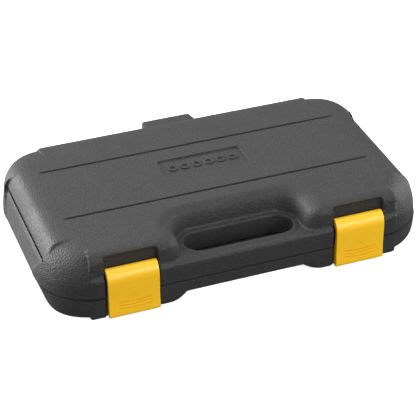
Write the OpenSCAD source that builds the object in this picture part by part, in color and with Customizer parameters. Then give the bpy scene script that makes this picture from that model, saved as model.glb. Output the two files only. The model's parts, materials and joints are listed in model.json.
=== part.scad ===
// Closed moulded carrying case with a half-inch drive socket wrench set inside.
// Lengths are in millimetres. Positions are worked out from the middle of the case in X,
// from the front of the handle in Y and from the surface it rests on in Z.

/* [Case] */
// Width of the closed case at the parting line
case_w = 363; // [360:1:376]
// Depth from the front of the handle to the rear wall
case_d = 200; // [200:1:208]
// Height of the closed case
case_h = 63; // [63:1:66]
// Height of the base half
base_h = 23; // [23:0.5:24]
// Radius of the corners seen from above
corner_r = 52; // [50:1:54]
// Wall of the moulded shells
wall = 2.6; // [2.4:0.1:3]
// Gap between the two halves along the parting line
parting_gap = 0.4; // [0.3:0.1:0.6]

/* [Handle] */
// Length of the finger slot
slot_w = 104; // [98:1:108]
// Width of the finger slot
slot_d = 28; // [26:1:29]
// Thickness of the bar in front of the slot
bar_d = 11; // [10:0.5:12]
// Height of the ledge around the slot
ledge_z = 42; // [41:0.5:43]
// Height of the underside of the handle
grip_z = 10.5; // [9:0.5:11]

/* [Latches] */
// Width of each latch
latch_w = 45.6; // [44:0.2:47]
// Distance between the middles of the two latches
latch_span = 210.4; // [206:0.2:212]
// Height of the top of a latch
latch_top = 48.4; // [47:0.2:49]
// Thickness of the latch plate
latch_t = 3.4; // [3:0.1:3.6]

/* [Hinge] */
// Width of the prop tab at the middle of the rear wall
tab_w = 50; // [46:1:54]
// How far the prop tab stands out behind the rear wall
tab_out = 18; // [16:1:20]
// Radius of the hinge knuckles
knuckle_r = 4.5; // [4.2:0.1:4.6]
// Radius of the steel hinge pins
pin_r = 2; // [1.8:0.1:2.2]

/* [Sockets] */
// Hexagon sizes in the small row
small_sizes = [8, 9, 10, 11, 12, 13, 14, 15, 16, 17];
// Hexagon sizes in the large row
large_sizes = [18, 19, 21, 22, 24, 27, 30, 32];
// Length of a small socket
small_len = 36; // [34:1:36]
// Length of a large socket
large_len = 42; // [40:1:42]
// Length of a spark plug socket
plug_len = 65; // [62:1:66]
// Width of the square drive
drive = 12.7; // [12.6:0.05:12.75]

/* [Wrench] */
// Length of the ratchet from its drive to the end of the grip
ratchet_len = 240; // [230:1:242]
// Length of the long extension bar
long_len = 250; // [240:1:250]
// Length of the short extension bar
short_len = 125; // [120:1:125]

/* [Hidden] */
$fn = 48;
black = [0.13, 0.13, 0.14];
skin = [0.2, 0.2, 0.21];
yellow = [0.96, 0.73, 0.1];
steel = [0.75, 0.76, 0.78];
dark_steel = [0.45, 0.46, 0.48];

// the outline reaches from the latches to the prop tab, and its middle is the origin
latch_out = 4;
front_y = -(case_d + tab_out - latch_out) / 2;

lid_z = base_h + parting_gap;
half_w = case_w / 2;
crease_x = half_w - 11;
crease_z = ledge_z + 1;
pad_x = half_w - 39.5;
pad_front = 38;
pad_rear = case_d - 35;
front_set = 3.5;
rim = 4.4;
plate_t = 2.4;
liner_top = case_h - 4.4;
skin_t = 1.8;
scoop_x = 68;
scoop_y = 50;

hinge_y = case_d + 5;
hinge_z = base_h + parting_gap / 2;
hinge_x = 95;
knuckle_w = 30;
knuckle_gap = 0.4;
knuckle_end = 15;

latch_x = latch_span / 2;
pivot_r = 3.2;
pivot_y = 5.8;
pivot_z = latch_top - 2.8;
latch_pin_r = 1.5;
pin_hold = 2.4;
latch_front = -2.8;
bend = pivot_y - latch_front;
bend_z = 38;
recess_w = latch_w + 2.4;
recess_y = 4.6;
pocket_y = 9.6;
pocket_top = case_h - 3;
fit = 0.05;

slot_y = bar_d + slot_d / 2;
slot_r = slot_d / 2;
rim_r = slot_r + 4.5;

// places of the tools
axis_z = 22;
row_gap = 2.4;
row_x = -160;
small_y = 88.6;
large_y = small_y + small_len + 2.2;
head_x = -140;
head_y = 68;
head_r = 18.5;
head_low = 17;
head_top = 34;
gear_r = 12;
handle_z = (head_low + head_top) / 2;
long_x = -127;
long_y = 180.8;
short_x = 150;
short_y = 48;
bar_end_r = 10.75;
joint_x = -112;
joint_y = 33.5;
joint_r = 11.5;
plug_big_x = 74.5;
plug_big_y = 33.5;
plug_small_x = 118;
plug_small_y = 50;
grip_r = 12.6;
shank_r = 6.2;
tool_gap = 0.3;

function nose_d(s) = 1.26 * s + 2.8;
function drive_d(s) = max(22, nose_d(s) - (s > 20 ? 3 : 0));
function socket_d(s) = max(nose_d(s), drive_d(s));
function row_at(list, i) = i == 0
    ? row_x + socket_d(list[0]) / 2
    : row_at(list, i - 1) + (socket_d(list[i - 1]) + socket_d(list[i])) / 2 + row_gap;
function place_z(d) = max(axis_z, d / 2 + 5);

module in_frame() translate([0, front_y, 0]) children();

// ---- outlines seen from above ----

module rounded(x0, x1, y0, y1, r) {
    translate([x0 + r, y0]) square([x1 - x0 - 2 * r, y1 - y0]);
    translate([x0, y0 + r]) square([x1 - x0, y1 - y0 - 2 * r]);
    for (x = [x0 + r, x1 - r]) for (y = [y0 + r, y1 - r]) translate([x, y]) circle(r, $fn = 96);
}

module outline(inset) rounded(-half_w + inset, half_w - inset, inset, case_d - inset, corner_r - inset);

module stadium(grow) {
    reach = slot_w / 2 - slot_r;
    translate([-reach, slot_y - slot_r - grow]) square([2 * reach, 2 * (slot_r + grow)]);
    for (x = [-reach, reach]) translate([x, slot_y]) circle(slot_r + grow, $fn = 96);
}

// ---- solids that both halves share ----

module slot_cut() translate([0, 0, -1]) linear_extrude(case_h + 2) stadium(0);

module corner_pads(profile) {
    for (turn = [[-1, 0], [1, 0], [-1, 1], [1, 1]]) {
        x = turn[0] * (half_w - corner_r);
        y = turn[1] == 0 ? corner_r : case_d - corner_r;
        start = turn[1] == 0 ? (turn[0] < 0 ? 180 : 270) : (turn[0] < 0 ? 90 : 0);
        intersection() {
            translate([x, y, 0]) rotate([0, 0, start])
                rotate_extrude(angle = 90, $fn = 96) polygon(profile);
            translate([turn[0] < 0 ? -half_w - 1 : pad_x, turn[1] == 0 ? -1 : pad_rear, -1])
                cube([half_w - pad_x + 1, turn[1] == 0 ? pad_front + 1 : case_d - pad_rear + 1, case_h + 2]);
        }
    }
}

// everything between the four corner pads
module between_pads(low, high) {
    translate([-pad_x, -1, low]) cube([2 * pad_x, case_d + 2, high - low]);
    translate([-half_w - 1, pad_front, low]) cube([case_w + 2, pad_rear - pad_front, high - low]);
}

module along_y(section) rotate([90, 0, 0]) translate([0, 0, -case_d]) linear_extrude(case_d) polygon(section);

module along_x(section) rotate([90, 0, 90]) translate([0, 0, -half_w])
    linear_extrude(case_w) polygon(section);

function mirrored(half) = concat(half, [for (i = [len(half) - 1:-1:0]) [-half[i][0], half[i][1]]]);

module knuckle(x, w) {
    translate([x - w / 2, hinge_y, hinge_z]) rotate([0, 90, 0]) cylinder(h = w, r = knuckle_r);
}

// ---- the case ----

// steps of the room inside the lid, each as [low, high, half width, front, rear, corner radius]
lid_steps = [
    [lid_z - 1, 31, half_w - 7, rim, case_d - rim, 46],
    [30.9, ledge_z - wall, half_w - 11.5, rim, case_d - 5, 44],
    [ledge_z - wall - 0.1, 45, half_w - 15.5, pocket_y + wall, case_d - 5.4, 44],
    [44.9, 54, half_w - 21.5, pocket_y + wall, case_d - 7, 44],
    [53.9, case_h - wall, half_w - 29.5, 16, case_d - 12, 58]
];

// steps of the room inside the base
base_steps = [
    [wall, 6, half_w - 14, 8, case_d - 14, 40],
    [5.9, 12, half_w - 9.5, 8, case_d - 9.5, 42],
    [11.9, base_h + 1, half_w - rim, rim, case_d - rim, corner_r - rim]
];

module room(steps, shrink) {
    for (s = steps) translate([0, 0, s[0]]) linear_extrude(s[1] - s[0])
        rounded(-s[2] + shrink, s[2] - shrink, s[3] + shrink, s[4] - shrink, s[5] - shrink);
}

module pocket_blocks(grow, low, high) {
    for (s = [-1, 1]) translate([s * latch_x - recess_w / 2 - grow, -1, low])
        cube([recess_w + 2 * grow, 1 + pocket_y + grow, high - low]);
}

module lid_solid() {
    pad_profile = concat(
        [[0, lid_z], [corner_r, lid_z], [corner_r - 0.6, lid_z + 6]],
        [for (a = [20:14:76]) [corner_r - 34 + 33.4 * cos(a), lid_z + 6 + (case_h - lid_z - 6) * sin(a)]],
        [[corner_r - 34, case_h], [0, case_h]]
    );
    intersection() {
        along_y(mirrored([[half_w, lid_z], [crease_x, crease_z], [crease_x - 6, case_h - 6],
            [crease_x - 9.5, case_h - 2], [crease_x - 15, case_h]]));
        along_x([[0, lid_z], [0, ledge_z - 1.5], [1.5, ledge_z], [front_set, ledge_z],
            [front_set + 1, case_h - 3], [front_set + 4, case_h],
            [case_d - 8, case_h], [case_d - 4, case_h - 4],
            [case_d - 3, ledge_z], [case_d, ledge_z - 2], [case_d, lid_z]]);
        translate([0, 0, lid_z]) linear_extrude(case_h) outline(0);
        between_pads(lid_z, case_h);
    }
    corner_pads(pad_profile);
}

module base_solid() {
    pad_profile = concat(
        [[0, 0], [corner_r - 22, 0]],
        [for (a = [75:-15:15]) [corner_r - 22 + 21.7 * cos(a), 20 - 20 * sin(a)]],
        [[corner_r - 0.3, 20], [corner_r, base_h], [0, base_h]]
    );
    intersection() {
        along_y(mirrored([[half_w - 20, 0], [half_w - 9, 4], [half_w - 2.5, 12], [half_w, base_h]]));
        along_x([[4, 0], [1, 2], [0, 6], [0, base_h], [case_d, base_h], [case_d - 1, 12],
            [case_d - 5, 3], [case_d - 10, 0]]);
        linear_extrude(base_h) outline(0);
        between_pads(0, base_h);
    }
    corner_pads(pad_profile);
}

module scoop() {
    back = slot_y + rim_r;
    intersection() {
        rotate([90, 0, 0]) translate([0, 0, -60]) linear_extrude(62)
            polygon([[-58, ledge_z], [58, ledge_z], [scoop_x - 2, case_h + 1], [2 - scoop_x, case_h + 1]]);
        rotate([90, 0, 90]) translate([0, 0, -80]) linear_extrude(160)
            polygon([[-2, ledge_z], [back + 0.5, ledge_z], [scoop_y, case_h + 1], [-2, case_h + 1]]);
    }
}

// the underside is raised below the handle
module grip_relief(grow) {
    reach = slot_y + rim_r + 2 + grow;
    rotate([90, 0, 0]) translate([0, 0, -reach]) linear_extrude(reach + 2)
        polygon(mirrored([[72 + grow, -1], [66 + grow, 1.5],
            [62 + grow, grip_z + grow], [0, grip_z + grow]]));
}

module top_details() {
    for (y = [69, 147]) translate([-146, y - 1.2, case_h - 1.4]) cube([292, 2.4, 2]);
    translate([0, 0, case_h - 1]) linear_extrude(2) rounded(-40.5, 40.5, 99.5, 128.5, 5);
}

module latch_recesses(low, high) {
    for (s = [-1, 1]) translate([s * latch_x - recess_w / 2, -1, low])
        cube([recess_w, 1 + recess_y, high - low]);
}

// the latch pins run across the pockets and end in their cheeks
module latch_rods(r, hold) {
    for (s = [-1, 1]) translate([s * latch_x - recess_w / 2 - hold, pivot_y, pivot_z]) rotate([0, 90, 0])
        cylinder(h = recess_w + 2 * hold, r = r);
}

module prop_tab(inset) {
    low = hinge_z + 0.8 + inset;
    high = 50.5 - inset;
    wide = tab_w / 2 + 3 - inset;
    narrow = tab_w / 2 - 2 - inset;
    far = case_d + tab_out - inset;
    translate([0, 0, low]) linear_extrude(high - low)
        polygon([[-wide, case_d - 8], [wide, case_d - 8], [narrow, far], [-narrow, far]]);
}

module ring_wall(low, high) translate([0, 0, low]) linear_extrude(high - low) stadium(wall);

module lid_shell() color(black) in_frame() difference() {
    union() {
        difference() {
            union() {
                lid_solid();
                prop_tab(0);
            }
            difference() {
                room(lid_steps, 0);
                pocket_blocks(wall, 0, case_h);
                ring_wall(0, case_h);
                translate([-scoop_x - wall, -1, ledge_z - wall - 0.05])
                    cube([2 * (scoop_x + wall), scoop_y + wall + 1, case_h]);
            }
            prop_tab(wall);
        }
        for (s = [-1, 1]) {
            knuckle(s * hinge_x, knuckle_w);
            translate([s * hinge_x - knuckle_w / 2, case_d - 3, lid_z])
                cube([knuckle_w, hinge_y - case_d + 3, knuckle_r - parting_gap / 2]);
        }
    }
    slot_cut();
    scoop();
    top_details();
    latch_recesses(-1, ledge_z + 2);
    pocket_blocks(0, ledge_z - 6, pocket_top);
    latch_rods(latch_pin_r, pin_hold);
    for (s = [-1, 1]) translate([s * hinge_x - knuckle_w, hinge_y, hinge_z]) rotate([0, 90, 0])
        cylinder(h = 2 * knuckle_w, r = pin_r + fit);
}

module base_shell() color(black) in_frame() difference() {
    union() {
        difference() {
            base_solid();
            difference() {
                room(base_steps, 0);
                for (s = [-1, 1]) translate([s * latch_x - recess_w / 2 - wall, -1, 0])
                    cube([recess_w + 2 * wall, 1 + recess_y + wall, base_h + 2]);
                ring_wall(0, base_h + 2);
                grip_relief(wall);
            }
            grip_relief(0);
        }
        for (s = [-1, 1]) for (t = [-1, 1]) {
            x = s * hinge_x + t * (knuckle_w + 2 * knuckle_gap + knuckle_end) / 2;
            knuckle(x, knuckle_end);
            translate([x - knuckle_end / 2, case_d - 3, base_h - knuckle_r])
                cube([knuckle_end, hinge_y - case_d + 3, knuckle_r]);
        }
    }
    slot_cut();
    latch_recesses(-1, base_h + 1);
    for (s = [-1, 1]) translate([s * hinge_x - 40, hinge_y, hinge_z]) rotate([0, 90, 0])
        cylinder(h = 80, r = pin_r);
}

module catch_ridges() for (s = [-1, 1]) translate([s * latch_x - 18, recess_y, 13]) rotate([0, 90, 0])
    cylinder(h = 36, r = 2);

module base_with_catches() {
    base_shell();
    color(black) in_frame() difference() {
        catch_ridges();
        translate([-case_w, recess_y, 0]) cube([2 * case_w, 10, base_h]);
    }
}

module hinge_pins() color(steel) in_frame() for (s = [-1, 1])
    translate([s * hinge_x - knuckle_w / 2 - knuckle_end, hinge_y, hinge_z]) rotate([0, 90, 0])
        cylinder(h = knuckle_w + 2 * knuckle_end, r = pin_r);

module latch_pins() color(steel) in_frame() latch_rods(latch_pin_r, pin_hold);

// ---- inner skins ----

module pan(half, front, rear, r, zone_x, zone_y, low, high) {
    translate([0, 0, low]) linear_extrude(high - low) difference() {
        rounded(-half, half, front, rear, r);
        translate([-zone_x, -1]) square([2 * zone_x, zone_y + 1]);
    }
}

module lid_liner() color(skin) in_frame() {
    t = skin_t;
    zx = scoop_x + wall + 0.4;
    zy = scoop_y + wall + 0.2;
    mid = ledge_z - 0.5;
    difference() {
        union() {
            translate([0, 0, lid_z]) linear_extrude(plate_t) difference() {
                rounded(-half_w + 7.2, half_w - 7.2, rim + 0.2, case_d - rim - 0.2, 45.8);
                stadium(wall + 0.2);
            }
            pan(half_w - 16, 13, case_d - 5.8, 44, zx, zy, lid_z, mid);
            pan(half_w - 30, 16.4, case_d - 12.4, 57, zx, zy, mid - 0.1, liner_top);
        }
        pan(half_w - 16 - t, 13 + t, case_d - 5.8 - t, 44 - t, zx + t, zy + t, lid_z - 1, mid - t);
        pan(half_w - 30 - t, 16.4 + t, case_d - 12.4 - t, 57 - t, zx + t, zy + t, lid_z, liner_top - t);
        pocket_blocks(wall + 0.2, 0, case_h);
    }
}

// blocks that the tools are sunk in
module tubs() {
    w = 1.6;
    top = base_h;
    row_end = row_at(large_sizes, len(large_sizes) - 1) + socket_d(large_sizes[len(large_sizes) - 1]) / 2;
    small_end = row_at(small_sizes, len(small_sizes) - 1) + socket_d(small_sizes[len(small_sizes) - 1]) / 2;
    for (b = [
        [row_x - w, small_y - w, small_end + w, small_y + small_len + w, 9],
        [row_x - w, large_y - w, row_end + w, large_y + large_len + w, 3],
        [long_x - w, long_y - bar_end_r - w, long_x + long_len + w, long_y + bar_end_r + w, 9],
        [short_x - bar_end_r - w, short_y - w, short_x + bar_end_r + w, short_y + short_len + w, 9],
        [plug_big_x - w, plug_big_y - 15 - w, plug_big_x + plug_len + w, plug_big_y + 15 + w, 5],
        [plug_small_x - 11.6 - w, plug_small_y - w, plug_small_x + 11.6 + w, plug_small_y + plug_len + w, 9],
        [joint_x - 37 - w, 14, joint_x + 38 + w, joint_y + 19, 5],
        [head_x, head_y - grip_r - 2, head_x + ratchet_len + w, head_y + grip_r + 2, 9.5]
    ]) translate([b[0], b[1], b[4]]) cube([b[2] - b[0], b[3] - b[1], top - b[4]]);
    translate([head_x, head_y, wall + 0.2]) cylinder(h = top - wall - 0.2, r = head_r + w, $fn = 96);
}

module lying_y(x, y, len, r, z) {
    translate([x, y - tool_gap, z]) rotate([-90, 0, 0]) cylinder(h = len + 2 * tool_gap, r = r + tool_gap);
    translate([x - r - tool_gap, y - tool_gap, z]) cube([2 * (r + tool_gap), len + 2 * tool_gap, base_h]);
}

module lying_x(x, y, len, r, z) {
    translate([x - tool_gap, y, z]) rotate([0, 90, 0]) cylinder(h = len + 2 * tool_gap, r = r + tool_gap);
    translate([x - tool_gap, y - r - tool_gap, z]) cube([len + 2 * tool_gap, 2 * (r + tool_gap), base_h]);
}

module tool_pockets() {
    for (i = [0:len(small_sizes) - 1]) {
        d = socket_d(small_sizes[i]);
        lying_y(row_at(small_sizes, i), small_y, small_len, d / 2, place_z(d));
    }
    for (i = [0:len(large_sizes) - 1]) {
        d = socket_d(large_sizes[i]);
        lying_y(row_at(large_sizes, i), large_y, large_len, d / 2, place_z(d));
    }
    lying_x(long_x, long_y, long_len, bar_end_r, axis_z);
    lying_y(short_x, short_y, short_len, bar_end_r, axis_z);
    lying_x(plug_big_x, plug_big_y, plug_len, 14, axis_z);
    lying_y(plug_small_x, plug_small_y, plug_len, 11.2, axis_z);
    translate([head_x, head_y, head_low - tool_gap]) cylinder(h = 40, r = head_r + tool_gap, $fn = 96);
    translate([head_x, head_y, 4]) cylinder(h = 40, r = 9.6);
    lying_x(head_x, head_y, ratchet_len - 18, 8, handle_z);
    lying_x(head_x + 100, head_y, ratchet_len - 100, grip_r, handle_z);
    lying_x(joint_x - 36, joint_y, 36, joint_r, axis_z);
    translate([joint_x - 12, joint_y - 18, 7]) cube([49, 36, 40]);
}

module tool_tray() color(skin) in_frame() difference() {
    union() {
        translate([0, 0, base_h - plate_t]) linear_extrude(plate_t)
            outline(rim + 0.2);
        intersection() {
            tubs();
            room(base_steps, 0.3);
        }
    }
    tool_pockets();
    translate([0, 0, -1]) linear_extrude(base_h + 2) stadium(wall + 0.2);
    for (s = [-1, 1]) translate([s * latch_x - recess_w / 2 - wall - 0.2, -1, 0])
        cube([recess_w + 2 * wall + 0.4, 1.2 + recess_y + wall, base_h + 2]);
    grip_relief(wall + 0.2);
}

// ---- latches ----

module latch(side) color(yellow) in_frame() difference() {
    union() {
        translate([side * latch_x - latch_w / 2, 0, 0]) rotate([90, 0, 90]) linear_extrude(latch_w) {
            polygon(concat(
                [for (a = [180:-10:90]) [pivot_y + bend * cos(a), bend_z + (latch_top - bend_z) * sin(a)]],
                [for (a = [90:15:180]) [pivot_y + (bend - latch_t) * cos(a), bend_z + 6.2 * sin(a)]],
                [[latch_front + latch_t, 12], [2.2, 9.5], [2.2, 8], [latch_front + latch_t, 6.5],
                    [latch_front + 2.4, 1.5], [latch_front - 0.6, 1.5], [-latch_out, 4], [latch_front, 13]]
            ));
            translate([pivot_y, pivot_z]) circle(pivot_r);
        }
        translate([side * latch_x - latch_w / 2 - 2.4, -latch_out + 0.4, 3.5]) cube([latch_w + 4.8, 2.6, 7]);
    }
    translate([side * latch_x - latch_w, pivot_y, pivot_z]) rotate([0, 90, 0])
        cylinder(h = 2 * latch_w, r = latch_pin_r + fit);
}

module left_latch() latch(-1);
module right_latch() latch(1);

// ---- sockets: the hexagon end faces the front of the case ----

module lying(x, y, z) translate([x, y, z]) rotate([-90, 0, 0]) children();

// one socket along +Z, hexagon end at zero
module socket_body(size, long, end_d, nose) {
    grip_end = long * 0.52;
    difference() {
        union() {
            cylinder(h = 1, r1 = nose / 2 - 0.8, r2 = nose / 2);
            translate([0, 0, 1]) cylinder(h = grip_end - 1, r = nose / 2);
            translate([0, 0, grip_end]) cylinder(h = 2, r1 = nose / 2, r2 = end_d / 2);
            translate([0, 0, grip_end + 2]) cylinder(h = long - grip_end - 3, r = end_d / 2);
            translate([0, 0, long - 1]) cylinder(h = 1, r1 = end_d / 2, r2 = end_d / 2 - 1);
        }
        translate([0, 0, -1]) cylinder(h = long * 0.48 + 1, r = size / sqrt(3) + 0.06, $fn = 6);
        translate([0, 0, long * 0.45]) cylinder(h = long * 0.2, r = min(size / 2.4, 5.8));
        translate([-drive / 2 - 0.1, -drive / 2 - 0.1, long - 16]) cube([drive + 0.2, drive + 0.2, 17]);
    }
}

module row_socket(list, i, y, long) {
    size = list[i];
    z = place_z(socket_d(size));
    color(steel) in_frame() lying(row_at(list, i), y, z) socket_body(size, long, drive_d(size), nose_d(size));
}

module plug_socket(size, d, x, y, turn) {
    color(steel) in_frame() translate([x, y, axis_z]) rotate(turn) difference() {
        union() {
            cylinder(h = plug_len - 1, r = d / 2);
            translate([0, 0, plug_len - 1]) cylinder(h = 1, r1 = d / 2, r2 = d / 2 - 1);
        }
        translate([0, 0, -1]) cylinder(h = 24, r = size / sqrt(3) + 0.06, $fn = 6);
        translate([0, 0, 22]) cylinder(h = plug_len - 40, r = size / 2 - 0.4);
        translate([0, 0, plug_len - 20]) cylinder(h = 6, r = 5.8);
        translate([-drive / 2 - 0.1, -drive / 2 - 0.1, plug_len - 16]) cube([drive + 0.2, drive + 0.2, 17]);
    }
}

// the rubber sleeve that holds a spark plug
module plug_insert(size, x, y, turn) {
    color(black) in_frame() translate([x, y, axis_z]) rotate(turn) translate([0, 0, 24]) difference() {
        cylinder(h = 14, r = size / 2 - 0.45);
        translate([0, 0, -1]) cylinder(h = 16, r = size / 2 - 2.6);
    }
}

module plug_socket_21() plug_socket(21, 28, plug_big_x, plug_big_y, [0, 90, 0]);
module plug_socket_16() plug_socket(16, 22, plug_small_x, plug_small_y, [-90, 0, 0]);
module plug_insert_21() plug_insert(21, plug_big_x, plug_big_y, [0, 90, 0]);
module plug_insert_16() plug_insert(16, plug_small_x, plug_small_y, [-90, 0, 0]);

// ---- extension bars: socket end at zero, square drive at the far end ----

ball_r = 2.4;

module ball_seat(x, y, z) translate([x, y, z]) sphere(ball_r + fit);

module bar(long) {
    difference() {
        union() {
            rotate_extrude() polygon([[0, 0], [bar_end_r - 1, 0], [bar_end_r, 1], [bar_end_r, 20],
                [shank_r, 28], [shank_r, long - 30], [9.6, long - 24], [9.6, long - 16],
                [7, long - 14], [0, long - 14]]);
            translate([0, 0, long - 15]) intersection() {
                translate([-drive / 2, -drive / 2, 0]) cube([drive, drive, 15]);
                cylinder(h = 15, r = drive / 2 * 1.3);
            }
        }
        translate([-drive / 2 - 0.1, -drive / 2 - 0.1, -1]) cube([drive + 0.2, drive + 0.2, 17]);
        ball_seat(0, -drive / 2 + 1.3, long - 7);
    }
}

module long_extension() color(steel) in_frame() translate([long_x, long_y, axis_z])
    rotate([0, 90, 0]) bar(long_len);

module short_extension() color(steel) in_frame() lying(short_x, short_y, axis_z) bar(short_len);

module extension_balls() color(dark_steel) in_frame() {
    translate([long_x, long_y, axis_z]) rotate([0, 90, 0]) translate([0, -drive / 2 + 1.3, long_len - 7])
        sphere(ball_r);
    lying(short_x, short_y, axis_z) translate([0, -drive / 2 + 1.3, short_len - 7]) sphere(ball_r);
}

// ---- universal joint ----

ear_gap = 4.8;
ear_out = 9.8;
ear_r = 4.5;
cross_pin_r = 2.5;
web_x = 11;

// one fork along +X from the middle of the joint, with its ears above and below
module fork(long, r) {
    difference() {
        union() {
            translate([web_x, 0, 0]) rotate([0, 90, 0]) cylinder(h = 7, r = r);
            intersection() {
                translate([0, -ear_r, -ear_out]) cube([web_x + 1, 2 * ear_r, 2 * ear_out]);
                rotate([0, 90, 0]) cylinder(h = web_x + 1, r = r);
            }
            translate([0, 0, -ear_out]) cylinder(h = 2 * ear_out, r = ear_r);
        }
        translate([-20, -20, -ear_gap]) cube([20 + web_x, 40, 2 * ear_gap]);
        translate([0, 0, -20]) cylinder(h = 40, r = cross_pin_r + fit);
    }
    children();
}

module joint_drive_fork() color(steel) in_frame() translate([joint_x, joint_y, axis_z]) mirror([1, 0, 0]) {
    difference() {
        union() {
            fork(36, joint_r);
            translate([web_x + 6.5, -drive / 2, -drive / 2]) cube([17, drive, drive]);
        }
        ball_seat(web_x + 17, 0, drive / 2 - 1.3);
    }
}

module joint_ball() color(dark_steel) in_frame()
    translate([joint_x - web_x - 17, joint_y, axis_z + drive / 2 - 1.3]) sphere(ball_r);

module joint_cross() color(dark_steel) in_frame() translate([joint_x, joint_y, axis_z]) {
    cube([8.4, 8.4, 8.4], center = true);
    translate([0, 0, -ear_out]) cylinder(h = 2 * ear_out, r = cross_pin_r);
    translate([0, ear_out, 0]) rotate([90, 0, 0]) cylinder(h = 2 * ear_out, r = cross_pin_r);
}

module joint_socket_fork() color(steel) in_frame() translate([joint_x, joint_y, axis_z]) difference() {
    union() {
        rotate([90, 0, 0]) fork(36, joint_r);
        translate([web_x + 6.5, 0, 0]) rotate([0, 90, 0]) cylinder(h = 16.5, r = joint_r - 0.5);
    }
    translate([web_x + 8, -drive / 2 - 0.1, -drive / 2 - 0.1]) cube([17, drive + 0.2, drive + 0.2]);
}

// ---- ratchet: drive pointing down, handle along +X ----

gear_low = head_low + 3;
gear_top = head_top - 0.4;
cover_t = 2;
teeth = 36;
tooth_h = 1.1;
pawl_x = 12.4;
core_r = 7.5;

module at_head() translate([head_x, head_y, 0]) children();

module ratchet_handle() color(steel) in_frame() at_head() difference() {
    union() {
        translate([0, 0, head_low]) cylinder(h = head_top - head_low, r = head_r, $fn = 96);
        translate([0, 0, handle_z]) rotate([0, 90, 0]) rotate_extrude()
            polygon([[0, 10], [7.6, 10], [7.6, 24], [shank_r, 40], [shank_r, 104], [core_r, 108],
                [core_r, ratchet_len - 24], [0, ratchet_len - 24]]);
    }
    translate([0, 0, gear_low]) cylinder(h = 30, r = gear_r + 0.1);
    translate([0, 0, head_low - 1]) cylinder(h = 20, r = 9.1);
    translate([8, -5, gear_low]) cube([9.2, 10, 30]);
    translate([10, 0, handle_z]) rotate([0, 90, 0]) cylinder(h = 14, r = 2.6);
    for (s = [-1, 1]) translate([0, s * 15.2, head_top - 8]) cylinder(h = 9, r = 1.5);
}

module ratchet_grip() color(black) in_frame() translate([head_x, head_y, handle_z])
    rotate([0, 90, 0]) difference() {
    rotate_extrude() polygon(concat(
        [[0, 104], [9.5, 104], [11.2, 106], [11.2, 112]],
        [for (i = [0:8]) for (k = [0:1]) [k == 0 ? grip_r : grip_r - 1.1, 116 + 10 * i + 5 * k]],
        [[grip_r, 210], [grip_r, ratchet_len - 8], [9, ratchet_len], [0, ratchet_len]]
    ));
    translate([0, 0, 100]) cylinder(h = ratchet_len - 124 + 0.02, r = core_r + fit);
}

module ratchet_cover() color(dark_steel) in_frame() at_head() difference() {
    translate([0, 0, head_top]) cylinder(h = cover_t, r = head_r - 0.8, $fn = 96);
    translate([0, 0, head_top - 1]) cylinder(h = 4, r = 4.2);
    for (s = [-1, 1]) translate([0, s * 15.2, head_top - 1]) cylinder(h = 4, r = 1.6);
}

module cover_screws() color(steel) in_frame() at_head() for (s = [-1, 1]) translate([0, s * 15.2, 0]) {
    translate([0, 0, head_top - 6]) cylinder(h = 6 + cover_t, r = 1.5);
    difference() {
        translate([0, 0, head_top + cover_t]) cylinder(h = 1.3, r = 2.5);
        translate([-3, -0.4, head_top + cover_t + 0.7]) cube([6, 0.8, 1]);
    }
}

module ratchet_gear() color(steel) in_frame() at_head() difference() {
    union() {
        translate([0, 0, gear_low + 0.2]) linear_extrude(gear_top - gear_low - 0.2)
            polygon([for (i = [0:2 * teeth - 1]) let (a = i * 180 / teeth)
                (gear_r - (i % 2) * tooth_h) * [cos(a), sin(a)]]);
        translate([0, 0, head_low]) cylinder(h = 4, r = 9);
        translate([0, 0, 5]) intersection() {
            translate([-drive / 2, -drive / 2, 0]) cube([drive, drive, 13]);
            cylinder(h = 13, r = drive / 2 * 1.3);
        }
    }
    translate([0, 0, 8]) cylinder(h = 40, r = 2.5 + fit);
    ball_seat(0, drive / 2 - 1.3, 11);
}

module ratchet_ball() color(dark_steel) in_frame() at_head()
    translate([0, drive / 2 - 1.3, 11]) sphere(ball_r);

module ratchet_pawl() color(dark_steel) in_frame() at_head() difference() {
    translate([pawl_x - 1.2, -4.6, gear_low + 0.2]) cube([4.4, 9.2, gear_top - gear_low - 0.4]);
    translate([0, 0, gear_low]) cylinder(h = 20, r = gear_r + 0.3);
}

// coil behind the pawl, one polyhedron swept along a helix
module pawl_spring() color(steel) in_frame() at_head() {
    turns = 5;
    rings = 10 * turns;
    sides = 8;
    coil = 1.7;
    wire = 0.3;
    start = pawl_x + 3.6;
    pitch = 1.35;
    points = [for (i = [0:rings]) for (k = [0:sides - 1])
        let (a = 36 * i, b = 360 * k / sides, r = coil + wire * cos(b))
            [start + pitch * i / 10 + wire * sin(b), r * cos(a), handle_z + r * sin(a)]];
    walls = [for (i = [0:rings - 1]) for (k = [0:sides - 1])
        let (n = (k + 1) % sides) [i * sides + k, i * sides + n, (i + 1) * sides + n, (i + 1) * sides + k]];
    caps = [[for (k = [sides - 1:-1:0]) k], [for (k = [0:sides - 1]) rings * sides + k]];
    polyhedron(points, concat(walls, caps));
}

module direction_lever() color(dark_steel) in_frame() at_head() difference() {
    union() {
        translate([0, 0, head_top + cover_t + 0.1]) cylinder(h = 3, r = 6.5);
        translate([0, 0, head_top + 0.1]) cylinder(h = cover_t + 1, r = 4.1);
        translate([0, -2.5, head_top + cover_t + 0.1]) cube([15, 5, 3]);
        translate([15, 0, head_top + cover_t + 0.1]) cylinder(h = 3, r = 2.5);
    }
    translate([0, 0, head_top - 1]) cylinder(h = 8, r = 2.5 + fit);
}

module release_button() color(steel) in_frame() at_head() {
    translate([0, 0, 10.6]) cylinder(h = 31, r = 2.5);
    translate([0, 0, 41.5]) cylinder(h = 2, r = 4);
    translate([0, 0, 43.5]) cylinder(h = 0.6, r1 = 4, r2 = 3.2);
}

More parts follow.
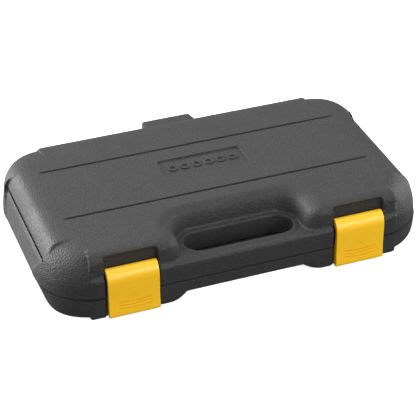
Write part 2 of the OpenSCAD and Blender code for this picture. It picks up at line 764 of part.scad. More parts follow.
base_with_catches();  // base_shell
tool_tray();
lid_shell();
lid_liner();
hinge_pins();
latch_pins();
left_latch();
right_latch();
ratchet_handle();
ratchet_grip();
ratchet_cover();
cover_screws();
ratchet_gear();
ratchet_pawl();
pawl_spring();
direction_lever();
release_button();
ratchet_ball();
long_extension();
short_extension();
extension_balls();
joint_drive_fork();
joint_cross();
joint_socket_fork();
joint_ball();
plug_socket_16();
plug_socket_21();
plug_insert_16();
plug_insert_21();
for (i = [0:len(small_sizes) - 1]) row_socket(small_sizes, i, small_y, small_len);
for (i = [0:len(large_sizes) - 1]) row_socket(large_sizes, i, large_y, large_len);
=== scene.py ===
import json
import math
import bpy
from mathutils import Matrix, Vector


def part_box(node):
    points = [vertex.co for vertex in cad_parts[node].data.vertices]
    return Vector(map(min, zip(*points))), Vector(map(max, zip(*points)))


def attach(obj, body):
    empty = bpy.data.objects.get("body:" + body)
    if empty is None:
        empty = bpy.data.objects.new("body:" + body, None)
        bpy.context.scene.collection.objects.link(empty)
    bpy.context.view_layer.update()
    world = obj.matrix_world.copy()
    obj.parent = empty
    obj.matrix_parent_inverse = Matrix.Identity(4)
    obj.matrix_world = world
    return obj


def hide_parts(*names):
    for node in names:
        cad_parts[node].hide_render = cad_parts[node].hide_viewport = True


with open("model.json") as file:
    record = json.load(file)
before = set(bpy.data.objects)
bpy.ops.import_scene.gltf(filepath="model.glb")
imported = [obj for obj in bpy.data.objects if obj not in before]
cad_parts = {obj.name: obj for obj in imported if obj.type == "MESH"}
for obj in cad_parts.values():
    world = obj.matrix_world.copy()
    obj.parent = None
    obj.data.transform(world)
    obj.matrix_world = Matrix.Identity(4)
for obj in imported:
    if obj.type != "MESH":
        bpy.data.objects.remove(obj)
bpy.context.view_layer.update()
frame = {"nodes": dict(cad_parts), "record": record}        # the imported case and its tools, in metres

# Lengths below are millimetres, counted from the middle in x, the handle's front in y and the bench in z.
lidLow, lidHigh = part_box("lid_shell")
caseFront = lidLow.y
mm = 0.001
halfWidth = lidHigh.x / mm
lidTop = lidHigh.z / mm
tabEnd = (lidHigh.y - caseFront) / mm


def place(x, y, z):
    return Vector((x * mm, caseFront + y * mm, z * mm))


def selectNothing():
    for other in bpy.context.selected_objects:
        other.select_set(False)


def pick(piece):
    selectNothing()
    piece.select_set(True)
    bpy.context.view_layer.objects.active = piece


def inEditMode(piece):
    pick(piece)
    bpy.ops.object.mode_set(mode="EDIT")
    bpy.ops.mesh.select_all(action="SELECT")


def leaveEditMode():
    bpy.ops.object.mode_set(mode="OBJECT")


def useModifier(piece, kind, **settings):
    pick(piece)
    modifier = piece.modifiers.new(kind.lower(), kind)
    for name, value in settings.items():
        setattr(modifier, name, value)
    bpy.ops.object.modifier_apply(modifier=modifier.name)


def carve(piece, cutter, operation="DIFFERENCE"):
    useModifier(piece, "BOOLEAN", operation=operation, object=cutter, solver="EXACT")
    bpy.data.objects.remove(cutter)


def roundEdges(piece, width, segments, angle):
    useModifier(piece, "BEVEL", width=width * mm, segments=segments, limit_method="ANGLE",
                angle_limit=math.radians(angle))


def between(points, at):
    # straight lines between (height, value) pairs
    if at <= points[0][0]:
        return points[0][1]
    for (z0, v0), (z1, v1) in zip(points, points[1:]):
        if at <= z1:
            return v0 + (v1 - v0) * (at - z0) / (z1 - z0)
    return points[-1][1]


def easeIn(t):
    t = min(max(t, 0), 1)
    return t * t * (3 - 2 * t)


def arc(middle, reach, start, end, count):
    # points on an ellipse, by angle in degrees
    for i in range(count + 1):
        angle = math.radians(start + (end - start) * i / count)
        yield middle[0] + reach[0] * math.cos(angle), middle[1] + reach[1] * math.sin(angle)


def skin(name, rings):
    # a grid wrapped through closed rings of points, with both ends filled
    selectNothing()
    bpy.ops.mesh.primitive_grid_add(x_subdivisions=len(rings[0]), y_subdivisions=len(rings) - 1, size=1)
    piece = bpy.context.object
    piece.name = name
    points = [p for ring in rings for p in ring + ring[:1]]
    for vertex, point in zip(piece.data.vertices, points):
        vertex.co = place(*point)
    inEditMode(piece)
    bpy.ops.mesh.remove_doubles(threshold=0.00001)
    bpy.ops.mesh.select_all(action="DESELECT")
    bpy.ops.mesh.select_non_manifold()
    bpy.ops.mesh.fill_holes(sides=0)
    bpy.ops.mesh.select_all(action="SELECT")
    bpy.ops.mesh.normals_make_consistent(inside=False)
    leaveEditMode()
    return piece


def block(name, low, high, bevel=0, segments=3):
    # a box between two corners, with its edges rounded
    selectNothing()
    middle = place(*[(a + b) / 2 for a, b in zip(low, high)])
    bpy.ops.mesh.primitive_cube_add(size=1, location=middle)
    piece = bpy.context.object
    piece.name = name
    piece.scale = [(b - a) * mm for a, b in zip(low, high)]
    bpy.ops.object.transform_apply(location=True, rotation=True, scale=True)
    if bevel:
        inEditMode(piece)
        bpy.ops.mesh.bevel(offset=bevel * mm, segments=segments, affect="EDGES")
        leaveEditMode()
    return piece


def rod(name, start, length, radius, sides=40):
    # a round bar along x
    selectNothing()
    middle = place(start[0] + length / 2, start[1], start[2])
    bpy.ops.mesh.primitive_cylinder_add(vertices=sides, radius=radius * mm, depth=length * mm,
                                        location=middle, rotation=(0, math.pi / 2, 0))
    piece = bpy.context.object
    piece.name = name
    bpy.ops.object.transform_apply(location=True, rotation=True, scale=True)
    return piece


def hexColor(text):
    parts = [int(text[i:i + 2], 16) / 255 for i in (1, 3, 5)]
    return [c / 12.92 if c <= 0.04045 else ((c + 0.055) / 1.055) ** 2.4 for c in parts] + [1]


def addNode(tree, kind, settings=None, links=None):
    node = tree.nodes.new(kind)
    for name, value in (settings or {}).items():
        if hasattr(node, name):
            setattr(node, name, value)
        else:
            node.inputs[name].default_value = value
    for name, source in (links or {}).items():
        tree.links.new(source, node.inputs[name])
    return node


def newMaterial(name):
    material = bpy.data.materials.new(name)
    material.use_nodes = True
    material.node_tree.nodes.clear()
    return material, material.node_tree


def colourBetween(tree, dark, light, factor):
    mix = addNode(tree, "ShaderNodeMixRGB", {"Color1": hexColor(dark), "Color2": hexColor(light)},
                  {"Fac": factor})
    return mix.outputs["Color"]


def moulded(name, dark, light, roughness, grain, depth):
    # spark-eroded mould grain: small rounded pits all over, with slightly uneven shine, and painted shade
    # that darkens the colour down in the pits
    material, tree = newMaterial(name)
    where = addNode(tree, "ShaderNodeTexCoord").outputs["Object"]
    broad = addNode(tree, "ShaderNodeTexNoise", {"Scale": 22.0, "Detail": 3.0}, {"Vector": where})
    pitsAndPaintedShade = addNode(tree, "ShaderNodeTexVoronoi",
                   {"feature": "SMOOTH_F1", "Scale": 1 / (grain * mm), "Smoothness": 0.5},
                   {"Vector": where})
    shine = addNode(tree, "ShaderNodeMapRange",
                    {"From Min": 0.3, "From Max": 0.7,
                     "To Min": roughness - 0.05, "To Max": roughness + 0.05},
                    {"Value": broad.outputs["Fac"]})
    bump = addNode(tree, "ShaderNodeBump", {"Strength": 1.0, "Distance": depth * mm},
                   {"Height": pitsAndPaintedShade.outputs["Distance"]})
    # painted shade: the base colour runs from the dark colour in the pits to the light colour on the crowns
    # between them
    shader = addNode(tree, "ShaderNodeBsdfPrincipled", {"IOR": 1.5},
                     {"Base Color": colourBetween(tree, dark, light, pitsAndPaintedShade.outputs["Distance"]),
                      "Roughness": shine.outputs["Result"], "Normal": bump.outputs["Normal"]})
    addNode(tree, "ShaderNodeOutputMaterial", None, {"Surface": shader.outputs["BSDF"]})
    return material


def steel(name, dark, light, roughness, grain, depth):
    # plated or machined steel: fine uneven polish and a few cloudy patches
    material, tree = newMaterial(name)
    where = addNode(tree, "ShaderNodeTexCoord").outputs["Object"]
    cloud = addNode(tree, "ShaderNodeTexNoise", {"Scale": 90.0, "Detail": 4.0}, {"Vector": where})
    fine = addNode(tree, "ShaderNodeTexNoise", {"Scale": 1 / (grain * mm), "Detail": 3.0},
                   {"Vector": where})
    shine = addNode(tree, "ShaderNodeMapRange",
                    {"From Min": 0.3, "From Max": 0.7,
                     "To Min": roughness - 0.04, "To Max": roughness + 0.06},
                    {"Value": cloud.outputs["Fac"]})
    bump = addNode(tree, "ShaderNodeBump", {"Strength": 0.6, "Distance": depth * mm},
                   {"Height": fine.outputs["Fac"]})
    shader = addNode(tree, "ShaderNodeBsdfPrincipled", {"Metallic": 1.0},
                     {"Base Color": colourBetween(tree, dark, light, cloud.outputs["Fac"]),
                      "Roughness": shine.outputs["Result"], "Normal": bump.outputs["Normal"]})
    addNode(tree, "ShaderNodeOutputMaterial", None, {"Surface": shader.outputs["BSDF"]})
    return material


# each has its two colours (for the moulded finishes the painted pit shade and the crown colour, for the
# steels two cloudy tones), then its roughness, and the size and depth of its grain in mm
finishes = {
    # matt black with a mottle of painted shade in the grain pits, which is drawn at 1.5 mm so that it shows
    # from the camera
    "case": moulded("mouldedPolyethylene", "#1A1A1B", "#353536", 0.6, 1.5, 0.42),
    # a little shinier than the case, and even in colour
    "lining": moulded("thermoformedPolyethylene", "#262627", "#2E2E2F", 0.5, 1.1, 0.12),
    # smooth warm yellow with a soft shine
    "latch": moulded("glossyPolypropylene", "#FFC41A", "#FFC820", 0.34, 5.0, 0.02),
    # dark and dull, as a grip is to hold
    "grip": moulded("mouldedSoftGrip", "#161617", "#1D1D1E", 0.6, 0.8, 0.06),
    # black rubber that hardly shines
    "insert": moulded("mouldedRubber", "#101010", "#181818", 0.75, 0.6, 0.05),
    # bright plating with a clear shine
    "tool_steel": steel("satinChromePlate", "#BFC1C4", "#D0D2D4", 0.2, 0.5, 0.004),
    # grey metal with a thin film of oil
    "dark_steel": steel("oiledMachinedSteel", "#6B6D70", "#7C7E81", 0.34, 0.4, 0.01),
    # dark wire and pins with a low shine
    "pin_steel": steel("blackenedSteelWire", "#3A3B3D", "#47494B", 0.42, 0.3, 0.006),
}


def finish(piece, slotName, body, *nodes):
    pick(piece)
    bpy.ops.object.shade_smooth_by_angle(angle=math.radians(38))
    piece.data.materials.clear()
    piece.data.materials.append(finishes[slotName])
    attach(piece, body)
    if nodes:
        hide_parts(*nodes)
    print(piece.name, len(piece.data.polygons), "faces")


case = {
    "depth": 200,
    "cornerRadius": 52,
    "voxel": 1.1,            # mesh size of the moulded skins
    "keep": 0.6,             # share of the faces kept once the skin is smooth
    "wall": 4.2,
    "sideWall": 2.6,         # how much thicker the side walls are than the front and rear
    "lidPadX": 142,          # the pillow corners start here at the front
    "lidPadRearX": 134,
    "basePadX": 143.5,
}

# how far each wall leans in with height, as (height, inset)
lidFrontWall = [(23.4, 0), (39.5, 0.2), (41, 0.7), (41.8, 1.5), (42.1, 3), (44, 3.3), (56, 4.2),
                (58.5, 5.2), (60.4, 6.9), (61.8, 9.2), (62.6, 11.6), (63, 15)]
lidRearWall = [(23.4, 0), (40, 0.3), (41.5, 1.6), (42.2, 3.2), (58, 5.5), (60.4, 7.2), (61.8, 9.5),
               (63, 15)]
lidSideWall = [(23.4, 3), (41, 8.2), (43.6, 9.8), (44.4, 10.6), (45.6, 10.2), (49, 11.4), (54, 14.2),
               (57, 16.4), (59.3, 18.7), (61, 21.6), (62.2, 25.4), (62.8, 29.4), (63, 34)]
padSide = [(23.4, 2.7), (28, 2.9), (33, 3.5), (38, 4.4), (43, 5.4), (48, 6.8), (52, 9.6), (55, 13),
           (58, 17.4), (60, 20.8), (61.5, 25), (62.4, 29.6), (63, 36)]
padFront = [(23.4, 0), (38, 0.2), (44, 1.2), (48, 2.2), (52, 3.6), (56, 5.6), (59, 7.9), (61.2, 10.6),
            (62.5, 13.6), (63, 17)]
padRear = [(23.4, 0), (33, 0.1), (42, 0.8), (48, 1.9), (53, 3.8), (56.5, 6.3), (59, 9.6), (60.8, 13.6),
           (62, 18.6), (62.7, 25), (63, 32)]
baseFrontWall = [(0, 5), (0.6, 3), (1.6, 1.6), (3.5, 0.6), (6, 0.2), (21, 0.3), (23, 0.6)]
baseRearWall = [(0, 11), (1, 8), (3, 5), (7, 2.2), (12, 0.8), (20, 0.3), (23, 0.6)]
baseSideWall = [(0, 21), (1, 17), (3, 13.9), (6, 11.3), (10, 8.9), (15, 6.4), (20, 4.2), (23, 3.4)]
lidLevels = [23.4, 24.6, 26.5, 29, 32, 35, 38, 40, 41.2, 41.8, 42.2, 42.6, 42.9, 44, 46, 48, 50, 52, 54,
             56, 57.5, 59, 60, 61, 61.8, 62.4, 62.8, 63]
baseLevels = [0, 0.4, 1, 1.6, 2.4, 3.5, 5, 7, 9, 12, 15, 18, 20, 21.5, 23]


def cornerPath(start, end, count):
    # stations round a corner: an angle from the front to the side, then how far past it along the side
    radius = case["cornerRadius"]
    quarter = math.pi / 2
    startLength = math.asin(max(start - (halfWidth - radius), 0) / radius) * radius
    if end > radius:
        endLength = quarter * radius + (end - radius)
    else:
        endLength = math.acos((radius - end) / radius) * radius
    for i in range(count + 1):
        length = startLength + (endLength - startLength) * i / count
        yield min(length / radius, quarter), max(length - quarter * radius, 0)


def cornerPoints(padX, padY, inset, count):
    # inset(angle) from the front direction to the side direction
    radius = case["cornerRadius"]
    points = []
    for angle, past in cornerPath(padX, padY, count):
        reach = radius - inset(angle)
        points.append((halfWidth - radius + reach * math.sin(angle),
                       radius - reach * math.cos(angle) + past))
    return points


def halfOutline(z, walls, pads, padXs, padYs, extra, sideExtra):
    # the right half, from the middle of the front to the middle of the rear
    frontWall, sideWall, rearWall = [between(w, z) + extra for w in walls]
    radius = case["cornerRadius"]
    depth = case["depth"]
    outline = []

    def cornerInset(pad):
        return lambda angle: pad(angle, z) + extra + sideExtra * easeIn(angle / (math.pi / 2))

    for i in range(25):
        x = padXs[0] * i / 24
        edge = radius - math.sqrt(radius ** 2 - max(x - (halfWidth - radius), 0) ** 2)
        outline.append((x, max(frontWall, edge + extra)))
    outline += cornerPoints(padXs[0], padYs[0], cornerInset(pads[0]), 36)
    for i in range(25):
        y = padYs[0] + (depth - padYs[1] - padYs[0]) * i / 24
        inward = min(y, depth - y)
        edge = (halfWidth - radius + math.sqrt(radius ** 2 - max(radius - inward, 0) ** 2)
                - extra - sideExtra)
        outline.append((min(halfWidth - sideWall - sideExtra, edge), y))
    rear = cornerPoints(padXs[1], padYs[1], cornerInset(pads[1]), 36)
    outline += [(x, depth - y) for x, y in reversed(rear)]
    for i in range(25):
        x = padXs[1] * (24 - i) / 24
        edge = radius - math.sqrt(radius ** 2 - max(x - (halfWidth - radius), 0) ** 2)
        outline.append((x, depth - max(rearWall, edge + extra)))
    return outline


def ringAt(z, outline):
    left = [(-x, y) for x, y in reversed(outline[1:-1])]
    return [(x, y, z) for x, y in outline + left]


def lidPad(frontProfile, crown, fullness):
    # crown rounds the middle of the corner, and a higher fullness keeps it square for longer
    def inset(angle, z):
        toSide = easeIn(angle / (math.pi / 2)) ** fullness
        dome = crown * math.sin(2 * angle) * max(z - 36, 0) / 27
        return between(frontProfile, z) * (1 - toSide) + between(padSide, z) * toSide + dome
    return inset


def lidRing(z, shape, extra=0, sideExtra=0):
    edge = 57 - 18 * easeIn((shape - 23.4) / 27)
    pads = (lidPad(padFront, 4.5, 1), lidPad(padRear, -3, 1.8))
    half = halfOutline(shape, (lidFrontWall, lidSideWall, lidRearWall), pads,
                       (case["lidPadX"], case["lidPadRearX"]), (edge, edge - 2), extra, sideExtra)
    return ringAt(z, half)


def basePad(angle, z):
    toSide = easeIn(angle / (math.pi / 2)) ** 5
    lean = max(14 - z, 0) / 14
    return (7.5 * (1 - math.sqrt(1 - lean * lean)) + 0.4) * (1 - toSide) + between(baseSideWall, z) * toSide


def baseRing(z, shape, extra=0):
    under = max(3 - shape, 0) / 3
    padX = case["basePadX"] - 3 * (1 - math.sqrt(1 - under * under))
    half = halfOutline(shape, (baseFrontWall, baseSideWall, baseRearWall), (basePad, basePad),
                       (padX, padX), (56, 56), extra, 0)
    return ringAt(z, half)


handle = {
    "slotHalf": 50.5,
    "slotNear": 11,
    "slotFar": 39,
    "ledge": 42,
    "rimWidth": 4.2,
    "rimHeight": 0.9,
    "lip": 1.4,              # how far the base's edge shows inside the slot
}


def stadium(grow, z):
    radius = (handle["slotFar"] - handle["slotNear"]) / 2 + grow
    middle = (handle["slotFar"] + handle["slotNear"]) / 2
    reach = handle["slotHalf"] + grow - radius
    right = [(reach + x, middle + y, z) for x, y in arc((0, 0), (radius, radius), -90, 90, 24)]
    left = [(-reach + x, middle + y, z) for x, y in arc((0, 0), (radius, radius), 90, 270, 24)]
    return right + left


def slotCutter(grow, low, high):
    return skin("slotCutter", [stadium(grow, low), stadium(grow, high)])


# the scoop behind the handle widens upwards and rolls over into the top, as (height, how much wider)
scoopFlare = [(41.6, 0), (43, 0.3), (46, 0.8), (50, 1.6), (54, 2.8), (57, 4.2), (59, 5.8), (60.6, 7.8),
              (61.8, 10), (62.6, 12.6), (63.2, 16), (66, 20)]


def scoopRing(z, flare, grow):
    corner = 18.5 + flare * 0.7 + grow
    side = 56.5 + flare * 1.15 + grow
    back = 43.8 + flare * 0.75 + grow
    nose = max(min(13, 79 - side), 1)     # rounds the end of the scoop into the front wall
    half = [(side + nose, -8)]
    half += list(arc((side + nose, 3.6 + nose), (nose, nose), 270, 180, 8))
    half += list(arc((side - corner, back - corner), (corner, corner), 0, 90, 12))
    return [(x, y, z - grow) for x, y in half] + [(-x, y, z - grow) for x, y in reversed(half)]


def scoopCutter(grow):
    return skin("scoopCutter", [scoopRing(z, flare, grow) for z, flare in scoopFlare])


latches = {
    "middle": 105.2,
    "recess": 48,
    "recessDepth": 4.6,
    "pocketDepth": 9.6,
    "pocketTop": 60,
}


def latchCutters(grow, low, high, depth):
    for side in (-1, 1):
        x = side * latches["middle"]
        half = latches["recess"] / 2 + grow
        yield block("latchCutter", (x - half, -8, low), (x + half, depth + grow, high))


hinge = {
    "x": 95,
    "y": 205,
    "z": 23.2,
    "radius": 4.5,
    "bore": 2.05,
    "lidWidth": 30,
    "baseWidth": 15,
    "gap": 0.4,
}


def addKnuckle(shell, x, width, low, high):
    # a barrel round the hinge pin, with a web to the rear wall
    barrel = rod("barrel", (x - width / 2, hinge["y"], hinge["z"]), width, hinge["radius"])
    roundEdges(barrel, 0.5, 2, 60)
    carve(barrel, block("web", (x - width / 2, 196, low), (x + width / 2, hinge["y"], high)), "UNION")
    carve(barrel, rod("bore", (x - width, hinge["y"], hinge["z"]), 2 * width, hinge["bore"]))
    carve(shell, barrel, "UNION")


def relax(shell):
    # the moulded skin: even faces, soft edges, then fewer faces where it is flat
    useModifier(shell, "REMESH", mode="VOXEL", voxel_size=case["voxel"] * mm)
    useModifier(shell, "SMOOTH", factor=0.5, iterations=4)
    useModifier(shell, "DECIMATE", ratio=case["keep"])


top = {
    "grooves": (69, 147),
    "grooveHalf": 146.6,
    "grooveDepth": 1.8,
    "labelHalf": 40.5,
    "labelNear": 99.4,
    "labelFar": 128.4,
    "labelDepth": 1.3,
}


def grooveCutter(y):
    # a narrow channel along x that runs out at its ends
    rings = []
    half = top["grooveHalf"]
    for i in range(33):
        x = half * math.sin(math.pi / 2 * (i - 16) / 16)
        floor = lidTop - top["grooveDepth"] * easeIn((half - abs(x)) / 9) + 0.1
        rings.append([(x, y - 1.5, lidTop + 1), (x, y + 1.5, lidTop + 1),
                      (x, y + 1, floor), (x, y - 1, floor)])
    return skin("grooveCutter", rings)


shoulder = {
    "inset": 10.2,
    "height": 44.6,
    "run": [(38, -1.2), (47, 3.4), (153, 3.4), (162, -1.2)],      # along the wall, and how deep
}


def shoulderCutter(side):
    # the sharp line below the rounded shoulder of each side wall: a slot that runs inwards and down
    rings = []
    for y, deep in shoulder["run"]:
        inner, low = shoulder["inset"] + 0.5 * deep, shoulder["height"] - 0.87 * deep
        slot = [(shoulder["inset"] - 2.2, shoulder["height"] + 2.2),
                (shoulder["inset"] - 0.8, shoulder["height"] + 3),
                (inner + 0.7, low + 0.4), (inner - 0.7, low - 0.4)]
        rings.append([(side * (halfWidth - across), y, z) for across, z in slot])
    return skin("shoulderCutter", rings)


def labelCutter():
    # a flat recess with rounded corners
    def ring(z, grow):
        half, near, far = top["labelHalf"] + grow, top["labelNear"] - grow, top["labelFar"] + grow
        corner = 5 + grow
        right = list(arc((half - corner, near + corner), (corner, corner), -90, 0, 6))
        right += list(arc((half - corner, far - corner), (corner, corner), 0, 90, 6))
        return [(x, y, z) for x, y in right] + [(-x, y, z) for x, y in reversed(right)]
    return skin("labelCutter", [ring(lidTop - top["labelDepth"], -0.3), ring(lidTop + 1, 0.3)])


def lidCavity():
    wall = case["wall"]
    levels = [z for z in lidLevels if z < 60]
    rings = [lidRing(z, min(z + 2.5, lidTop), wall, case["sideWall"]) for z in levels + [60.2]]
    cavity = skin("lidCavity", [lidRing(15, 23.4, wall, case["sideWall"])] + rings)
    carve(cavity, scoopCutter(2.2))
    carve(cavity, slotCutter(2.6, 0, 80))
    for cutter in latchCutters(2.6, 10, 80, latches["pocketDepth"]):
        carve(cavity, cutter)
    return cavity


def shapeLid():
    lid = skin("caseLid", [lidRing(20.4, 23.4)] + [lidRing(z, z) for z in lidLevels])
    tabRings = []
    for y in (188, 198, 204, 210, tabEnd):
        half = 28 - 3.6 * max(y - 198, 0) / (tabEnd - 198)
        tabRings.append([(-half, y, 24.3), (half, y, 24.3), (half, y, 52.6), (-half, y, 52.6)])
    tab = skin("tab", tabRings)
    roundEdges(tab, 2.2, 4, 50)
    carve(lid, tab, "UNION")
    carve(lid, scoopCutter(0))
    rim = [stadium(handle["rimWidth"] + grow, z) for grow, z in ((0, 36), (0, 42.2), (-0.3, 42.5),
                                                                 (-1, 42 + handle["rimHeight"]))]
    carve(lid, skin("rimBand", rim), "UNION")
    for cutter in latchCutters(0, 34, latches["pocketTop"], latches["pocketDepth"]):
        carve(lid, cutter)
    for cutter in latchCutters(0, 10, handle["ledge"] + 2, latches["recessDepth"]):
        carve(lid, cutter)
    carve(lid, slotCutter(0, 10, 80))
    relax(lid)
    carve(lid, block("partingCutter", (-200, -20, 10), (200, 230, 23.4)))
    for y in top["grooves"]:
        carve(lid, grooveCutter(y))
    carve(lid, labelCutter())
    for side in (-1, 1):
        carve(lid, shoulderCutter(side))
    carve(lid, lidCavity())
    for side in (-1, 1):
        addKnuckle(lid, side * hinge["x"], hinge["lidWidth"], 23.5, 27.7)
    return lid


lid = shapeLid()
finish(lid, "case", "lid", "lid_shell")


def hexRow():
    # a row of plain nut shapes stands in the label recess
    row = []
    for i in range(6):
        selectNothing()
        bpy.ops.mesh.primitive_cylinder_add(vertices=6, radius=5 * mm, depth=1.1 * mm,
                                            location=place(-29 + 11.6 * i, 113.9, lidTop - 0.95))
        nut = bpy.context.object
        bpy.ops.object.transform_apply(location=True, rotation=True, scale=True)
        selectNothing()
        bpy.ops.mesh.primitive_cylinder_add(vertices=20, radius=2.6 * mm, depth=4 * mm,
                                            location=place(-29 + 11.6 * i, 113.9, lidTop - 0.95))
        hole = bpy.context.object
        bpy.ops.object.transform_apply(location=True, rotation=True, scale=True)
        carve(nut, hole)
        roundEdges(nut, 0.25, 2, 50)
        row.append(nut)
    selectNothing()
    for nut in row:
        nut.select_set(True)
    bpy.context.view_layer.objects.active = row[0]
    bpy.ops.object.join()
    row[0].name = "labelPattern"
    return row[0]


finish(hexRow(), "case", "lid")


def reliefCutter(grow):
    # the underside is raised below the handle, with rounded shoulders
    profile = [(-72, -3), (-70, 0), (-66, 0.6), (-61, 1.7), (-56, 3.4), (-52.5, 6), (-50, 8.8), (-48, 10.5)]
    rings = []
    for y in (-8, 0, 0.5, 1.2, 2.4, 4, 6.5, 10, 15, 44, 46, 47):
        ahead = max(15 - max(y, 0), 0) / 15
        flare = 15 * (1 - math.sqrt(1 - ahead * ahead)) + grow
        drop = max(y - 44, 0) * 1.5
        half = [(x - flare, y if y < 44 else y + grow, z - drop if z < 0 else z - drop + grow)
                for x, z in profile]
        rings.append(half + [(-x, y, z) for x, y, z in reversed(half)])
    return skin("reliefCutter", rings)


def baseCavity():
    wall = case["wall"]
    levels = [2.8] + [z for z in baseLevels if z > 3]
    rings = [baseRing(z, max(z - 1.5, 0), wall) for z in levels]
    cavity = skin("baseCavity", rings + [baseRing(30, 23, wall)])
    carve(cavity, reliefCutter(2.6))
    carve(cavity, slotCutter(2.6, -10, 80))
    for cutter in latchCutters(2.6, -10, 80, latches["recessDepth"]):
        carve(cavity, cutter)
    return cavity


def shapeBase():
    base = skin("caseBase", [baseRing(z, z) for z in baseLevels] + [baseRing(26, 23)])
    carve(base, reliefCutter(0))
    for cutter in latchCutters(0, -8, 40, latches["recessDepth"]):
        carve(base, cutter)
    carve(base, slotCutter(-handle["lip"], -10, 60))
    relax(base)
    carve(base, block("partingCutter", (-200, -20, 22.1), (200, 230, 40)))
    carve(base, baseCavity())
    for side in (-1, 1):
        ridge = rod("catchRidge", (side * latches["middle"] - 18, latches["recessDepth"] + 0.2, 13), 36, 2)
        carve(base, ridge, "UNION")
        for end in (-1, 1):
            offset = (hinge["lidWidth"] + hinge["baseWidth"]) / 2 + hinge["gap"]
            addKnuckle(base, side * hinge["x"] + end * offset, hinge["baseWidth"], 18.5, 22.9)
    return base


finish(shapeBase(), "case", "base", "base_shell")


latch = {
    "width": 45.6,
    "front": -2.8,
    "inside": 0.6,
    "pivot": (5.8, 45.6),
    "pivotRadius": 3.1,
    "pinBore": 1.55,
    "top": 48.6,
    "bend": 37,              # the curl starts at this height
    "flange": 2,             # width of the side flanges
    "flangeBack": 3.9,
}


def latchProfile(isFlange):
    # a closed outline in y and z: up the front, over the curl, round the pivot and down the inside
    pivotY, pivotZ = latch["pivot"]
    curl = pivotY - latch["front"]
    outline = [(-2.4, 2.8), (-3.4, 3.2), (-4, 4.4), (-4, 6), (-3.7, 9), (-3.2, 13), (-2.9, 18), (-2.8, 24),
               (-2.8, 31)]
    outline += list(arc((pivotY, latch["bend"]), (curl, latch["top"] - latch["bend"]), 180, 90, 12))
    outline += list(arc((pivotY, latch["top"] - latch["pivotRadius"]), [latch["pivotRadius"]] * 2,
                        75, -90, 9))
    outline += list(arc((pivotY, latch["bend"]), (pivotY - latch["inside"], 5), 100, 180, 7))
    if isFlange:
        back = latch["flangeBack"]
        outline += [(0.9, 30), (1.6, 26), (2.8, 22), (back, 18.5), (back, 12), (back, 9), (back, 6.4),
                    (3.2, 4.4), (1, 3.2)]
    else:
        outline += [(0.6, 30), (0.6, 24), (0.6, 18), (0.6, 12.4), (2, 9.6), (2.2, 8.6), (1.8, 7.4),
                    (0.6, 6.2), (0, 3.2)]
    return outline


def markCutters(side):
    # three curved grip lines with a small pointer above them
    x0 = side * latches["middle"]
    for i in range(3):
        rings = []
        for k in range(17):
            x = -16 + 2 * k
            z = 10.4 + 3.1 * i + 1.6 * (x / 16) ** 2
            face = between([(9, -3.7), (13, -3.2), (18, -2.9), (24, -2.8)], z)
            low, high = -7, face + 1.1 * easeIn((16.4 - abs(x)) / 3) - 0.05
            rings.append([(x0 + x, low, z - 0.5), (x0 + x, low, z + 0.5), (x0 + x, high, z + 0.3),
                          (x0 + x, high, z - 0.3)])
        yield skin("gripLine", rings)
    tip = [(x0, 26), (x0 - 2, 21.4), (x0 + 2, 21.4)]
    yield skin("pointer", [[(x, y, z) for x, z in tip] for y in (-6, -2.2)])


def shapeLatch(side):
    half = latch["width"] / 2
    flange = latch["flange"]
    stations = [-half, -half + flange, -half + flange + 0.3]
    stations += [-half * 0.8 + half * 1.6 * i / 8 for i in range(9)]
    stations += [half - flange - 0.3, half - flange, half]
    rings = []
    for x in stations:
        isFlange = abs(x) > half - flange - 0.1
        rings.append([(side * latches["middle"] + x, y, z) for y, z in latchProfile(isFlange)])
    plate = skin("leftLatch" if side < 0 else "rightLatch", rings)
    roundEdges(plate, 0.7, 3, 48)
    for cutter in markCutters(side):
        carve(plate, cutter)
    pivotY, pivotZ = latch["pivot"]
    carve(plate, rod("bore", (side * latches["middle"] - 40, pivotY, pivotZ), 80, latch["pinBore"], 24))
    return plate


finish(shapeLatch(-1), "latch", "left_latch", "left_latch")
finish(shapeLatch(1), "latch", "right_latch", "right_latch")

# the parts that keep their shape get their finish
slots = {s["node"]: s["material_slot"] for s in frame["record"]["subparts"]}
for name, node in frame["nodes"].items():
    node.data.materials.clear()
    node.data.materials.append(finishes[slots[name]])
print("finishes done")


studio = {
    "camera": {"azimuth": -20.72, "elevation": 34.12, "distance": 1.378, "lens": 131.35,
               "target": (-0.0056, -0.0230, 0.0315)},
    "lights": {
        "leftSoftbox": {"at": (-1.35, 0.95, 0.42), "size": (1.4, 0.9), "power": 62},
        "rearSoftbox": {"at": (0.1, 1.6, 1.0), "size": (1.8, 0.8), "power": 6},
        "topSoftbox": {"at": (0.1, 0.1, 1.7), "size": (1.4, 1.2), "power": 9},
        "rightSoftbox": {"at": (1.5, 0.1, 0.22), "size": (1.2, 0.6), "power": 14},
        "frontFill": {"at": (0.5, -1.6, 0.8), "size": (1.2, 0.8), "power": 15},
    },
    "skyAbove": 0.7,
    "skyBelow": 0.18,
    "floorGlow": 0.75,
}


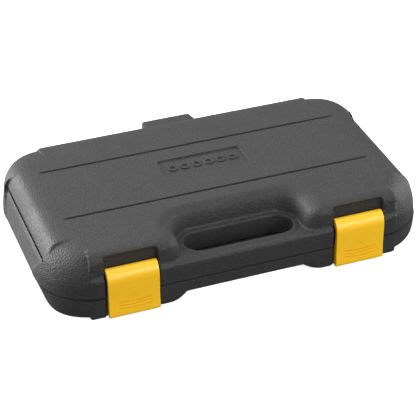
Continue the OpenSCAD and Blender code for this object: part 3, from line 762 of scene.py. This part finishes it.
def studioCamera():
    # seen from the front left and above
    view = studio["camera"]
    azimuth, elevation = math.radians(view["azimuth"]), math.radians(view["elevation"])
    back = Vector((math.sin(azimuth) * math.cos(elevation), -math.cos(azimuth) * math.cos(elevation),
                   math.sin(elevation)))
    bpy.ops.object.camera_add(location=Vector(view["target"]) + back * view["distance"])
    camera = bpy.context.object
    camera.rotation_euler = (-back).to_track_quat("-Z", "Y").to_euler()
    camera.data.lens = view["lens"]
    camera.data.sensor_width = 36
    bpy.context.scene.camera = camera


def studioLight(name, at, size, power):
    bpy.ops.object.light_add(type="AREA", location=at)
    light = bpy.context.object
    light.name = name
    light.data.shape = "RECTANGLE"
    light.data.size, light.data.size_y = size
    light.data.energy = power
    light.rotation_euler = (Vector((0, 0, 0.03)) - Vector(at)).to_track_quat("-Z", "Y").to_euler()


def studioFloor():
    # white paper that glows a little, so that only a soft contact shadow shows
    bpy.ops.mesh.primitive_plane_add(size=6)
    floor = bpy.context.object
    floor.name = "studioFloor"
    floor.visible_diffuse = False
    floor.visible_glossy = False
    paper, tree = newMaterial("paleStudioPaper")
    shader = addNode(tree, "ShaderNodeBsdfPrincipled",
                     {"Base Color": hexColor("#F4F4F4"), "Roughness": 0.9,
                      "Emission Color": hexColor("#FFFFFF"), "Emission Strength": studio["floorGlow"]})
    addNode(tree, "ShaderNodeOutputMaterial", None, {"Surface": shader.outputs["BSDF"]})
    floor.data.materials.append(paper)


def studioSky():
    # pale above and dim below, as in a studio with a dark front
    world = bpy.data.worlds.new("studio")
    world.use_nodes = True
    tree = world.node_tree
    split = addNode(tree, "ShaderNodeSeparateXYZ", None,
                    {"Vector": addNode(tree, "ShaderNodeTexCoord").outputs["Generated"]})
    glow = addNode(tree, "ShaderNodeMapRange",
                   {"From Min": -0.1, "From Max": 0.5,
                    "To Min": studio["skyBelow"], "To Max": studio["skyAbove"]},
                   {"Value": split.outputs["Z"]})
    tree.links.new(glow.outputs["Result"], tree.nodes["Background"].inputs["Strength"])
    tree.nodes["Background"].inputs["Color"].default_value = (1, 1, 1, 1)
    bpy.context.scene.world = world


selectNothing()
studioCamera()
for name, light in studio["lights"].items():
    studioLight(name, **light)
studioFloor()
studioSky()
bpy.context.scene.view_settings.view_transform = "Standard"
print("studio done")
